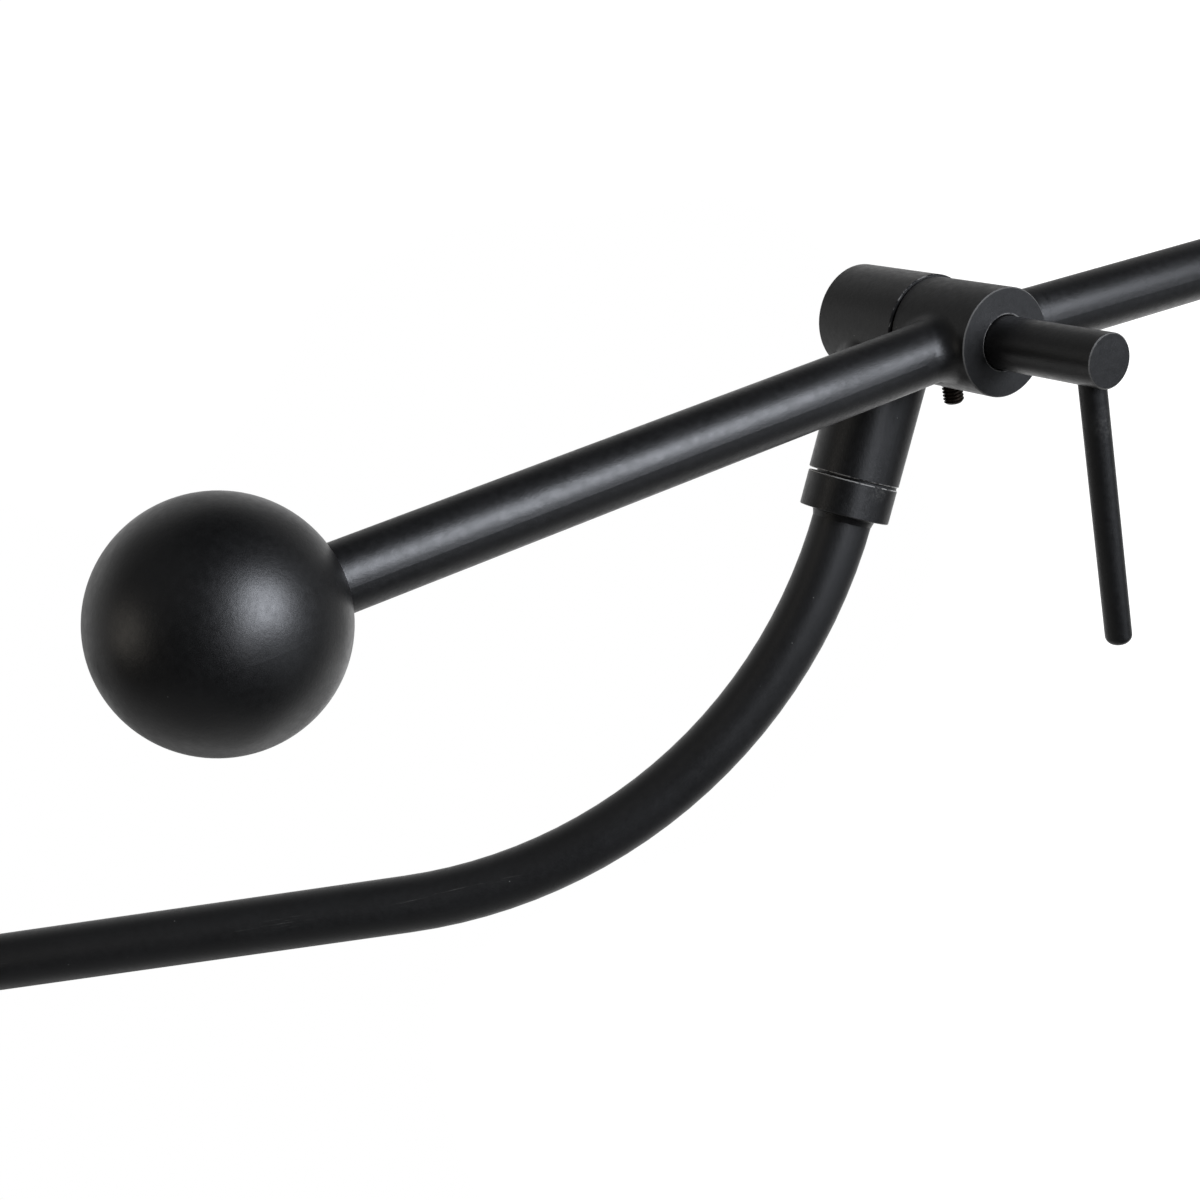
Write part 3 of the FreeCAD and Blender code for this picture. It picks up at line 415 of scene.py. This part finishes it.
coats = {
    "support_arm": dict(rough=0.46, tint=1.5, dusty=0.03, smooth=0.7, scuffs=[
        scuff(byPivot(-5.8, 58.9, -135.2), Vector((0, -0.88, 0.47)), Vector((-0.96, 0.13, 0.24)), 34, 1.0),
        scuff(byPivot(-5.9, 92.4, -151.8), middleWay, Vector((-0.985, 0.07, 0.16)), 22, 3.4, 0.8),
        scuff(byPivot(-5.9, 150.0, -177.0), middleWay, Vector((-0.985, 0.07, 0.16)), 26, 2.0, 0.4)]),
    "swivel_collar": dict(
        pale=[patch(byPivot(-7.6, -5.2, -33.0), 2.8, 0.5, 1.0)],
        rims=[rim(collarAxis, upward, collarDia, 0.25, 0.9, 0.46)]),
    "pivot_tee": dict(dusty=0.14, rims=[
        rim(socketFoot, upward, arm["socketDia"], 0.25, 0.8, 0.48),
        rim(seamTee, tiltAxis, arm["teeDia"], 0.24, 0.4, 0.57),
        rim(alongTilt(-arm["teeRear"]), tiltAxis, arm["teeDia"], 0.25, 0.25, 0.58)]),
    "tilt_hub": dict(rough=0.45, rims=[
        rim(seamHub, tiltAxis, arm["barrelDia"], 0.25, 0.7, 0.48),
        # these two rims on the hub's near face are a painted highlight: the key light's glint on the outer edge
        # and on the bore's edge
        rim(hubFace, tiltAxis, arm["barrelDia"], 0.26, 0.24, 0.28),
        rim(hubFace, tiltAxis, arm["shaftDia"] + 0.6, 0.22, 0.3, 0.44)]),
    "tilt_shaft": dict(rims=[rim(alongTilt(arm["shaftEnd"]), tiltAxis, arm["shaftDia"], 0.28, 0.25, 0.36)]),
    "handle_bar": dict(dusty=0.06, pale=[patch(byPivot(-42.5, -38.0, -10.5), 4.5, 0.7, 0.5)]),
    "wall_plate": dict(rims=[
        rim(outward * arm["plateFront"] * mm, outward, arm["plateDia"], 0.5, 0.4, 0.60)]),
    "arm_boss": dict(rims=[
        rim(outward * arm["bossFront"] * mm, outward, arm["bossDia"], 0.4, 0.4, 0.58)]),
    "weight_rod": dict(rough=0.425, dark=[patch(byPivot(-38.0, 3.0, -16.0), 14.0, 0.28, 0.45)]),
    "boom_tube": dict(),
    "ball_weight": dict(dusty=0.012, smooth=0.7, rough=0.39, tint=0.7),
}


def finishFor(node, slotName):
    centre = centreOf(node)
    alongSwivel = node in ("swivel_pin", "swivel_washer", "retaining_ring", "swivel_bush")
    axis = upward if alongSwivel else tiltAxis
    if node in ("boom_nipple", "ball_stud"):
        axis = boomWay if node == "boom_nipple" else weightWay
    if node == "boss_screw":
        axis = outward
    makers = {
        "black_oxide": lambda: blackOxide("oxide." + node, centre, axis),
        "zinc_steel": lambda: zincPlate("zinc." + node, centre, axis),
        "spring_steel": lambda: bluedSpring("spring." + node, centre, axis),
        "brass_plain": lambda: turnedBrass("brass." + node, centre, axis),
        "bronze": lambda: sinteredBronze("bronze." + node),
        "nylon": lambda: nylon("nylon." + node, (0.70, 0.68, 0.62), (0.80, 0.79, 0.74)),
        "nylon_black": lambda: nylon("nylon." + node, (0.008, 0.008, 0.008), (0.014, 0.014, 0.014)),
        "black_cap": lambda: mouldedCap("cap." + node),
    }
    if node in coats:
        return powderCoat("powder." + node, **coats[node])
    return makers[slotName]()


finishes = {}
for entry in frame["record"]["subparts"]:
    node = frame["nodes"][entry["node"]]
    finishes[entry["node"]] = finishFor(entry["node"], entry["material_slot"])
    node.data.materials.clear()
    node.data.materials.append(finishes[entry["node"]])
print("finishes done")


# ---- modelling helpers: everything is made round +Z at the origin, then stood in its place ----

def startFresh():
    if bpy.context.object and bpy.context.object.mode != "OBJECT":
        bpy.ops.object.mode_set(mode="OBJECT")
    bpy.ops.object.select_all(action="DESELECT")


def drawOutline(name, corners):
    # one vertex, extruded from corner to corner; each corner is (radius, height) in millimetres
    startFresh()
    bpy.ops.mesh.primitive_plane_add(size=mm)
    piece = bpy.context.object
    piece.name = name
    bpy.ops.object.mode_set(mode="EDIT")
    bpy.ops.mesh.select_all(action="SELECT")
    bpy.ops.mesh.merge(type="CENTER")
    bpy.ops.transform.translate(value=(corners[0][0] * mm, 0, corners[0][1] * mm))
    for last, corner in zip(corners, corners[1:]):
        step = ((corner[0] - last[0]) * mm, 0, (corner[1] - last[1]) * mm)
        bpy.ops.mesh.extrude_vertices_move(TRANSFORM_OT_translate={"value": step})
    return piece


def latheOutline(name, corners, steps=64):
    # the outline starts and ends on the axis, so that the turned piece is closed
    piece = drawOutline(name, corners)
    bpy.ops.mesh.select_all(action="SELECT")
    bpy.ops.mesh.spin(steps=steps, angle=2 * math.pi, center=(0, 0, 0), axis=(0, 0, 1))
    bpy.ops.mesh.select_all(action="SELECT")
    bpy.ops.mesh.remove_doubles(threshold=0.002 * mm)
    bpy.ops.mesh.normals_make_consistent(inside=False)
    bpy.ops.object.mode_set(mode="OBJECT")
    return piece


def applyModifier(piece, kind, **settings):
    modifier = piece.modifiers.new(kind.title(), kind)
    for name, setting in settings.items():
        setattr(modifier, name, setting)
    startFresh()
    piece.select_set(True)
    bpy.context.view_layer.objects.active = piece
    bpy.ops.object.modifier_apply(modifier=modifier.name)


def combine(piece, tool, operation, sliver=0.004):
    # the slivers that a cut leaves are merged, so that the mesh stays closed
    applyModifier(piece, "BOOLEAN", operation=operation, object=tool, solver="EXACT")
    bpy.data.objects.remove(tool, do_unlink=True)
    bpy.ops.object.mode_set(mode="EDIT")
    bpy.ops.mesh.select_all(action="SELECT")
    bpy.ops.mesh.remove_doubles(threshold=sliver * mm)
    bpy.ops.mesh.dissolve_degenerate(threshold=sliver * mm)
    bpy.ops.mesh.normals_make_consistent(inside=False)
    bpy.ops.object.mode_set(mode="OBJECT")


def screwThread(name, dia, pitch, bottom, top, steps=48):
    # one pitch of the flank is drawn, wound up the axis and cut off square at both ends
    outer, depth = dia / 2, 0.6134 * pitch
    foot = bottom - 2 * pitch
    heights = (0, pitch / 4, pitch * 9 / 16, pitch * 11 / 16, pitch)
    radii = (outer - depth, outer - depth, outer, outer, outer - depth)
    piece = drawOutline(name, [(radius, foot + height) for radius, height in zip(radii, heights)])
    bpy.ops.object.mode_set(mode="OBJECT")
    turns = math.ceil((top - foot) / pitch) + 2
    applyModifier(piece, "SCREW", angle=2 * math.pi, screw_offset=pitch * mm, iterations=turns, steps=steps,
                  render_steps=steps, use_merge_vertices=True, merge_threshold=0.001 * mm)
    bpy.ops.object.mode_set(mode="EDIT")
    bpy.ops.mesh.select_all(action="SELECT")
    bpy.ops.mesh.remove_doubles(threshold=0.001 * mm)
    for height, clear in ((bottom, "clear_inner"), (top, "clear_outer")):
        bpy.ops.mesh.select_all(action="SELECT")
        bpy.ops.mesh.bisect(plane_co=(0, 0, height * mm), plane_no=(0, 0, 1), use_fill=True,
                            threshold=0.0001 * mm, **{clear: True})
    bpy.ops.mesh.select_all(action="SELECT")
    bpy.ops.mesh.normals_make_consistent(inside=False)
    bpy.ops.object.mode_set(mode="OBJECT")
    return piece


def standUp(piece, point, way, material, body, slotName, *nodes, crease=35):
    # stands the piece on a point along a direction
    piece.matrix_world = Matrix.Translation(point) @ way.to_track_quat("Z", "X").to_matrix().to_4x4()
    standAsPlaced(piece, material, body, slotName, *nodes, crease=crease)


def standAsPlaced(piece, material, body, slotName, *nodes, crease=35):
    # moves the piece's place into its mesh, so that its object is untransformed at the origin
    startFresh()
    piece.select_set(True)
    bpy.context.view_layer.objects.active = piece
    bpy.ops.object.transform_apply(location=True, rotation=True, scale=True)
    bpy.ops.object.shade_smooth_by_angle(angle=math.radians(crease))
    piece.data.materials.clear()
    piece.data.materials.append(material)
    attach(piece, body)
    if nodes:
        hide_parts(*nodes)


# ---- set screws: M4, hexagon socket, chamfered ends ----

setScrew = {
    "dia": 4.0,
    "pitch": 0.7,
    "socket": 2.0,                     # across the flats
    "socketDepth": 2.0,
    "chamfer": 0.45,
    "chamferRise": 0.9,                # of the chamfer's width
    "spare": 0.2,                      # thread past both ends, cut off by the blank
    "clear": 0.02,                     # from the thread's crest out to the blank
    "twist": 2.0,                      # degrees, keeps the socket's corners off the seam
    "hubLength": 10.0,
    "armLength": 5.0,
}


def makeSetScrew(name, length):
    outer, cut = setScrew["dia"] / 2 + setScrew["clear"], setScrew["chamfer"]
    rise, spare = cut * setScrew["chamferRise"], setScrew["spare"]
    piece = screwThread(name, setScrew["dia"], setScrew["pitch"], -spare, length + spare)
    blank = latheOutline("blank", [(0, 0), (outer - cut, 0), (outer, rise), (outer, length - rise),
                                   (outer - cut, length), (0, length)])
    combine(piece, blank, "INTERSECT")
    startFresh()
    depth = setScrew["socketDepth"]
    bpy.ops.mesh.primitive_cylinder_add(vertices=6, radius=setScrew["socket"] / math.sqrt(3) * mm,
                                        depth=2 * depth * mm, location=(0, 0, length * mm),
                                        rotation=(0, 0, math.radians(setScrew["twist"])))
    combine(piece, bpy.context.object, "DIFFERENCE")
    return piece


hubScrewFoot = centreOf("hub_set_screw") - handleWay * setScrew["hubLength"] / 2 * mm
standUp(makeSetScrew("hubSetScrew", setScrew["hubLength"]), hubScrewFoot, handleWay,
        blackOxide("oxide.hubSetScrew", hubScrewFoot, handleWay), "boom", "black_oxide", "hub_set_screw",
        crease=25)
armScrewFoot = centreOf("arm_set_screw") + upward * setScrew["armLength"] / 2 * mm
standUp(makeSetScrew("armSetScrew", setScrew["armLength"]), armScrewFoot, -upward,
        blackOxide("oxide.armSetScrew", armScrewFoot, upward), "arm", "black_oxide", "arm_set_screw",
        crease=25)
print("set screws done")


# ---- boom's end piece: plug, flange and hollow thread, in brass ----

nipple = {
    "dia": 10.0,
    "pitch": 1.0,
    "length": 12.0,                    # past the flange
    "flange": 3.0,
    "flangeDia": 12.0,
    "plug": 14.0,
    "plugDia": 9.56,
    "bore": 6.5,
    "edge": 0.3,
    "shoulder": 0.1,                   # chamfer on the flange, at the tube
    "neck": 1.0,                       # undercut behind the thread
    "threadDepth": 0.62,
    "overlap": 0.2,
    "runIn": 0.5,                      # chamfers at the thread's two ends
    "leadIn": 0.8,
    "clear": 0.02,                     # from the thread's crest out to the blank
    "cutLength": 80.0,
    "twist": 2.0,                      # degrees, keeps the bore's corners off the seam
}


def makeNipple():
    edge, core = nipple["edge"], nipple["dia"] / 2 - nipple["threadDepth"]
    plug, rod, shoulder = nipple["plugDia"] / 2, nipple["flangeDia"] / 2, nipple["shoulder"]
    flange, tip = nipple["flange"], nipple["flange"] + nipple["length"]
    start, outer = flange + nipple["neck"], nipple["dia"] / 2 + nipple["clear"]
    piece = latheOutline("boomNipple", [
        (0, -nipple["plug"]), (plug - edge, -nipple["plug"]), (plug, edge - nipple["plug"]), (plug, 0),
        (rod - shoulder, 0), (rod, shoulder), (rod, flange - edge), (rod - edge, flange), (core, flange),
        (core, tip - edge), (core - edge, tip), (0, tip)])
    stub = screwThread("stub", nipple["dia"], nipple["pitch"], start, tip + nipple["overlap"])
    blank = latheOutline("blank", [
        (0, start - nipple["overlap"]), (core - shoulder, start - nipple["overlap"]),
        (outer, start + nipple["runIn"]), (outer, tip - nipple["leadIn"]),
        (outer - nipple["leadIn"], tip), (0, tip)])
    combine(stub, blank, "INTERSECT")
    combine(piece, stub, "UNION")
    startFresh()
    bpy.ops.mesh.primitive_cylinder_add(vertices=64, radius=nipple["bore"] / 2 * mm,
                                        depth=nipple["cutLength"] * mm,
                                        rotation=(0, 0, math.radians(nipple["twist"])))
    combine(piece, bpy.context.object, "DIFFERENCE")
    return piece


low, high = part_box("boom_nipple")
nippleLength = nipple["plug"] + nipple["flange"] + nipple["length"]
nippleFoot = (low + high) / 2 + boomWay * (nipple["plug"] - nippleLength / 2) * mm
standUp(makeNipple(), nippleFoot, boomWay, finishes["boom_nipple"], "boom", "brass_plain", "boom_nipple")
print("end piece done")


# ---- weld bead where the handle bar enters the shaft ----

bead = {
    "barDia": 5.0,
    "reach": 0.55,                     # past the bar's side
    "rise": 0.34,                      # above the shaft
    "rounding": 0.26,
    "length": 12.0,                    # of the pad along the shaft, before it is cut round
    "foot": 2.5,                       # from the shaft's axis out to where the cutter starts
    "height": 8.0,
    "place": 30.8,                     # from the hub's centre along the tilt axis
}


def makeBead():
    # a low pad round the bar that follows the shaft's curve, with its edges rounded over
    startFresh()
    bpy.ops.mesh.primitive_cylinder_add(vertices=160, radius=(arm["shaftDia"] / 2 + bead["rise"]) * mm,
                                        depth=bead["length"] * mm, rotation=(0, math.pi / 2, 0))
    piece = bpy.context.object
    piece.name = "handleBead"
    startFresh()
    bpy.ops.mesh.primitive_cylinder_add(vertices=96, radius=(bead["barDia"] / 2 + bead["reach"]) * mm,
                                        depth=bead["height"] * mm,
                                        location=(0, 0, (bead["foot"] + bead["height"] / 2) * mm))
    combine(piece, bpy.context.object, "INTERSECT")
    applyModifier(piece, "BEVEL", width=bead["rounding"] * mm, segments=4, limit_method="ANGLE",
                  angle_limit=math.radians(40))
    return piece


beadFoot = alongTilt(arm["hubCentre"] + bead["place"])
beadPiece = makeBead()
turned = Matrix((tiltAxis, handleWay.cross(tiltAxis), handleWay)).transposed().to_4x4()
beadPiece.matrix_world = Matrix.Translation(beadFoot) @ turned
standAsPlaced(beadPiece, powderCoat("powder.handleBead"), "boom", "powder_black")
print("bead done")


# ---- stage, lights and camera ----

studio = {
    "floorDrop": 0.55,                 # metres under the wall plate's centre
    "floorSize": 60.0,
    "roomGlow": 0.012,
    "glows": [
        # way from the hub, cosines of the outer and inner edge, strength
        ((0.99, 0.04, -0.13), (0.80, 0.970), 0.60),
        ((0.83, -0.56, 0.05), (0.80, 0.970), 0.54),
        ((0.87, -0.13, 0.48), (0.80, 0.970), 0.35),
        ((0.82, 0.46, 0.33), (0.80, 0.970), 0.45),
        ((0.74, 0.63, -0.25), (0.80, 0.970), 0.29),
        ((0.70, 0.20, -0.69), (0.80, 0.970), 0.21),
        ((0.74, -0.40, -0.54), (0.80, 0.970), 0.73),
        ((0.43, 0.80, 0.41), (0.82, 0.975), 0.19),
        ((0.34, 0.90, -0.28), (0.82, 0.975), 0.42),
        ((0.28, 0.48, -0.83), (0.82, 0.975), 0.26),
        ((0.30, -0.21, -0.93), (0.82, 0.975), 0.31),
        ((0.37, -0.77, -0.52), (0.82, 0.975), 0.10),
        ((0.03, -0.80, 0.60), (0.80, 0.970), 0.14),
        ((-0.22, 0.13, -0.97), (0.80, 0.970), 0.20),
        ((-0.56, 0.74, 0.38), (0.74, 0.960), 0.13),
    ],
    "lights": [
        # name, way from the hub, metres off, size, watts, colour
        ("keyBox", (-0.599, -0.647, 0.471), 1.1, (0.62, 0.62), 13.4, (0.93, 0.97, 1.06)),
        ("keySide", (-0.69, -0.53, 0.50), 1.1, (0.62, 0.62), 5.2, (0.93, 0.97, 1.06)),
        ("window", (-0.92, -0.39, -0.02), 0.5, (0.16, 0.24), 0.30, (0.95, 0.98, 1.05)),
        ("leftFill", (-0.465, 0.836, -0.29), 1.2, (0.5, 0.5), 1.1, (1.0, 0.93, 0.84)),
        ("rightFill", (-0.33, -0.94, -0.06), 1.2, (0.9, 0.9), 1.0, (0.92, 0.97, 1.05)),
    ],
}

camera = {
    "from": Vector((-0.36702, 0.02814, -0.02033)),   # metres from the pivot
    "heading": 2.422,                  # degrees, from +X towards +Y
    "pitch": -7.539,
    "roll": 14.182,
    "lens": 54.0,
}


def lookingWay():
    heading, pitch = math.radians(camera["heading"]), math.radians(camera["pitch"])
    level = Vector((math.cos(heading), math.sin(heading), 0))
    return level * math.cos(pitch) + upward * math.sin(pitch)


def roomLight(paint, way):
    # how bright the room is in a direction: a sum of soft patches, but plain white to the eye
    way = paint.make("ShaderNodeVectorMath", {"operation": "NORMALIZE"}, [way])
    light = studio["roomGlow"]
    for centre, edge, strength in studio["glows"]:
        light = paint.ramp(paint.vector("DOT_PRODUCT", way, centre, "Value"), *edge) * strength + light
    return light.maths("MAXIMUM", paint.make("ShaderNodeLightPath", output="Is Camera Ray"))


def makeFloor():
    startFresh()
    bpy.ops.mesh.primitive_plane_add(size=studio["floorSize"], location=(0, 0, -studio["floorDrop"]))
    floor = bpy.context.object
    floor.name = "floor"
    paint = Paint("paleFloor")
    spot = paint.make("ShaderNodeNewGeometry", output="Position")
    way = paint.vector("SUBTRACT", spot, tuple(pivot))
    glow = paint.make("ShaderNodeEmission", {}, {"Color": (1, 1, 1), "Strength": roomLight(paint, way)})
    paint.tree.links.new(glow.socket, paint.tree.nodes["Material Output"].inputs["Surface"])
    floor.data.materials.append(paint.material)


def makeWorld():
    world = bpy.data.worlds.new("studio")
    bpy.context.scene.world = world
    world.use_nodes = True
    sky = Paint.__new__(Paint)
    sky.tree = world.node_tree
    way = sky.make("ShaderNodeTexCoord", output="Generated")
    sky.fill(sky.tree.nodes["Background"].inputs["Color"], (1, 1, 1))
    sky.fill(sky.tree.nodes["Background"].inputs["Strength"], roomLight(sky, way))


def makeCamera():
    data = bpy.data.cameras.new("camera")
    eye = bpy.data.objects.new("camera", data)
    bpy.context.scene.collection.objects.link(eye)
    data.lens = camera["lens"]
    data.sensor_width = 36
    data.clip_start = 0.01
    forward = lookingWay()
    level = forward.cross(upward).normalized()
    right = Quaternion(forward, -math.radians(camera["roll"])) @ level
    turned = Matrix((right, right.cross(forward), -forward)).transposed()
    eye.matrix_world = Matrix.Translation(pivot + camera["from"]) @ turned.to_4x4()
    bpy.context.scene.camera = eye


def softLight(name, way, far, size, watts, colour):
    data = bpy.data.lights.new(name, "AREA")
    data.shape, data.size, data.size_y = "RECTANGLE", size[0], size[1]
    data.energy, data.color = watts, colour
    lamp = bpy.data.objects.new(name, data)
    bpy.context.scene.collection.objects.link(lamp)
    lamp.location = pivot + Vector(way) * far
    lamp.rotation_euler = (-Vector(way)).to_track_quat("-Z", "Y").to_euler()
    lamp.visible_camera = False


makeFloor()
makeWorld()
makeCamera()
for light in studio["lights"]:
    softLight(*light)
bpy.context.scene.view_settings.view_transform = "Standard"
print("stage done")
